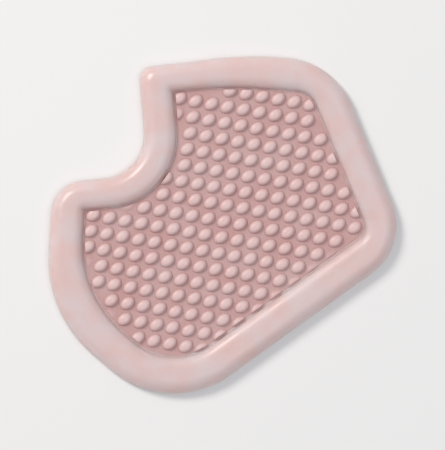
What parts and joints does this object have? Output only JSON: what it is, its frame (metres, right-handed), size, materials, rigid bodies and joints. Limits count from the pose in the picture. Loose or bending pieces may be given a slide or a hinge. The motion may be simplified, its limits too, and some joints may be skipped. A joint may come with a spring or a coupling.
{
  "type": "metatarsal pad",
  "caption": "Flat gel pad for the ball of the right foot, with a rounded raised rim, a field of small nubs and a concave cut-out beside the big toe's joint.",
  "frame": {"origin": "centre of the bounding box, on the flat skin face", "axes": "+Z out of the skin face towards the nubs, +Y along the foot to the toes, +X to the big toe's side"},
  "size_m": [0.0616, 0.0744, 0.0036],
  "materials": {
    "gel": "soft satin, milky and slightly translucent"
  },
  "bodies": {
    "root": {"gel_pad": "gel"}
  },
  "joints": []
}
